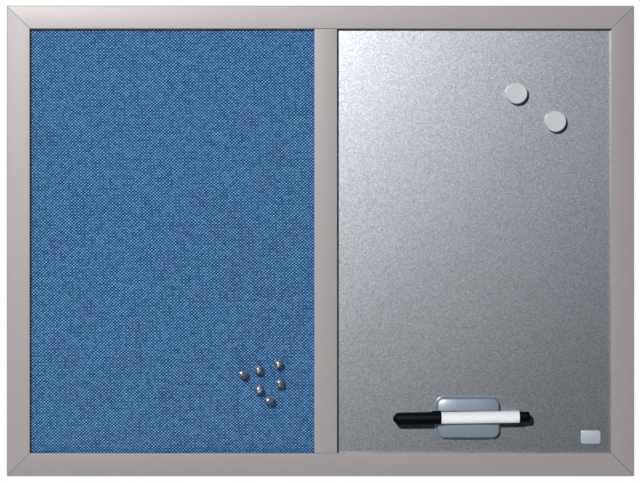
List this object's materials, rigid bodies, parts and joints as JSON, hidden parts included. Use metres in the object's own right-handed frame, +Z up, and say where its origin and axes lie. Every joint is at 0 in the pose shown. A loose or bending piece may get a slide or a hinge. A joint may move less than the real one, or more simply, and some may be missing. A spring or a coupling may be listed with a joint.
{
  "type": "combination memo board",
  "caption": "Wall board in one mitred frame: a fabric pinboard beside a magnetic dry-wipe steel sheet, with magnets, push pins and an eraser that carries a marker.",
  "frame": {"origin": "middle of the top rail's back face, in the plane of the wall", "axes": "+X to the viewer's right, +Y from the viewer into the wall, +Z up; the front faces -Y"},
  "size_m": [0.6, 0.0291, 0.45],
  "materials": {
    "frame_finish": "warm grey satin lacquer on fibreboard",
    "board_fabric": "blue plain-woven cloth",
    "softboard": "pressed softboard",
    "lacquered_steel": "silver lacquer with a fine sparkle",
    "hardboard": "brown hardboard",
    "zinc_steel": "zinc plated",
    "beech": "bare beech",
    "badge_metal": "satin, blank",
    "magnet_plastic": "light grey, smooth",
    "ferrite": "dark grey sintered",
    "clear_plastic": "clear, polished",
    "needle_steel": "bright nickel",
    "black_plastic": "satin black",
    "white_plastic": "gloss white",
    "ink_fibre": "fibre soaked in black ink",
    "housing_plastic": "grey-blue, high gloss",
    "felt": "dense dark felt"
  },
  "bodies": {
    "board": {"frame_rail_top": "frame_finish", "frame_rail_bottom": "frame_finish", "frame_stile_left": "frame_finish", "frame_stile_right": "frame_finish", "divider_bar": "frame_finish", "pinboard_fabric": "board_fabric", "pinboard_softboard": "softboard", "steel_sheet": "lacquered_steel", "steel_backer": "softboard", "back_panel": "hardboard", "corner_v_nail_top_right": "zinc_steel", "corner_v_nail_top_left": "zinc_steel", "corner_v_nail_bottom_left": "zinc_steel", "corner_v_nail_bottom_right": "zinc_steel", "back_retainer_top_left": "zinc_steel", "back_retainer_top_right": "zinc_steel", "back_retainer_bottom_left": "zinc_steel", "back_retainer_bottom_right": "zinc_steel", "back_retainer_left_lower": "zinc_steel", "back_retainer_left_upper": "zinc_steel", "back_retainer_right_lower": "zinc_steel", "back_retainer_right_upper": "zinc_steel", "divider_dowel_bottom": "beech", "divider_dowel_top": "beech", "keyhole_hanger_left": "zinc_steel", "keyhole_hanger_right": "zinc_steel", "hanger_screw_left_lower": "zinc_steel", "hanger_screw_left_upper": "zinc_steel", "hanger_screw_right_lower": "zinc_steel", "hanger_screw_right_upper": "zinc_steel", "blank_badge": "badge_metal"},
    "magnet_1": {"magnet_1_cap": "magnet_plastic", "magnet_1_core": "ferrite"},
    "magnet_2": {"magnet_2_cap": "magnet_plastic", "magnet_2_core": "ferrite"},
    "eraser": {"eraser_housing": "housing_plastic", "eraser_felt": "felt", "eraser_magnet_upper": "ferrite", "eraser_magnet_lower": "ferrite"},
    "marker": {"marker_barrel": "white_plastic", "marker_nib_holder": "black_plastic", "marker_nib": "ink_fibre", "marker_ink_reservoir": "ink_fibre", "marker_end_plug": "black_plastic"},
    "marker_cap": {"marker_cap": "black_plastic"},
    "push_pin_1": {"push_pin_1_head": "clear_plastic", "push_pin_1_needle": "needle_steel"},
    "push_pin_2": {"push_pin_2_head": "clear_plastic", "push_pin_2_needle": "needle_steel"},
    "push_pin_3": {"push_pin_3_head": "clear_plastic", "push_pin_3_needle": "needle_steel"},
    "push_pin_4": {"push_pin_4_head": "clear_plastic", "push_pin_4_needle": "needle_steel"},
    "push_pin_5": {"push_pin_5_head": "clear_plastic", "push_pin_5_needle": "needle_steel"},
    "push_pin_6": {"push_pin_6_head": "clear_plastic", "push_pin_6_needle": "needle_steel"}
  },
  "joints": [
    {"name": "magnet_1_lift", "type": "slide", "parent": "board", "child": "magnet_1", "axis": [0, -1, 0], "range_m": [0, 0.03]},
    {"name": "magnet_2_lift", "type": "slide", "parent": "board", "child": "magnet_2", "axis": [0, -1, 0], "range_m": [0, 0.03]},
    {"name": "eraser_lift", "type": "slide", "parent": "board", "child": "eraser", "axis": [0, -1, 0], "range_m": [0, 0.04]},
    {"name": "marker_lift", "type": "slide", "parent": "eraser", "child": "marker", "axis": [0, -1, 0], "range_m": [0, 0.03]},
    {"name": "marker_cap_pull", "type": "slide", "parent": "marker", "child": "marker_cap", "axis": [-0.9999, 0, -0.0148], "range_m": [0, 0.045]},
    {"name": "push_pin_1_pull", "type": "slide", "parent": "board", "child": "push_pin_1", "axis": [0.0698, -0.9921, 0.1043], "range_m": [0, 0.012]},
    {"name": "push_pin_2_pull", "type": "slide", "parent": "board", "child": "push_pin_2", "axis": [-0.1564, -0.9755, 0.1545], "range_m": [0, 0.012]},
    {"name": "push_pin_3_pull", "type": "slide", "parent": "board", "child": "push_pin_3", "axis": [-0.1564, -0.9727, 0.1715], "range_m": [0, 0.012]},
    {"name": "push_pin_4_pull", "type": "slide", "parent": "board", "child": "push_pin_4", "axis": [-0.1392, -0.9829, 0.1207], "range_m": [0, 0.012]},
    {"name": "push_pin_5_pull", "type": "slide", "parent": "board", "child": "push_pin_5", "axis": [-0.1392, -0.9752, 0.172], "range_m": [0, 0.012]},
    {"name": "push_pin_6_pull", "type": "slide", "parent": "board", "child": "push_pin_6", "axis": [0.0698, -0.9824, 0.1732], "range_m": [0, 0.012]}
  ]
}
